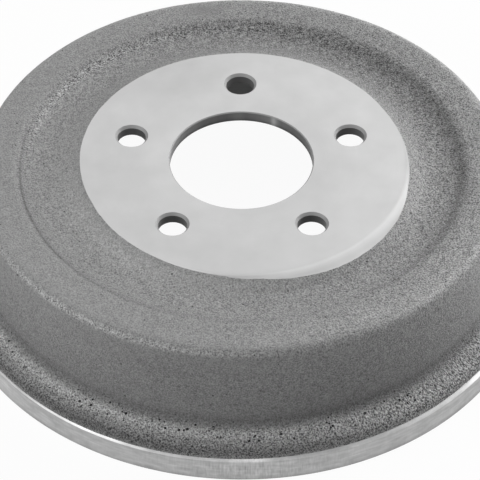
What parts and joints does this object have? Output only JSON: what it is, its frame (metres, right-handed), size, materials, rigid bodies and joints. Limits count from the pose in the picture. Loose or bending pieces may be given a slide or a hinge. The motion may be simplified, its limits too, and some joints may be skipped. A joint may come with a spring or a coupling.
{
  "type": "brake drum",
  "caption": "Cast-iron brake drum with a turned wheel face, pilot bore and stud holes, a dished web, a plain side wall and a flared open rim.",
  "frame": {"origin": "centre of the open rim's turned face, on the drum's axis, so the drum stands on its rim", "axes": "+Z along the axis from the open rim to the wheel face, +Y through one stud hole"},
  "size_m": [0.2938, 0.2938, 0.072],
  "materials": {
    "grey_iron": "bare grey iron, sand-cast skin with turned faces"
  },
  "bodies": {
    "root": {"brake_drum": "grey_iron"}
  },
  "joints": []
}
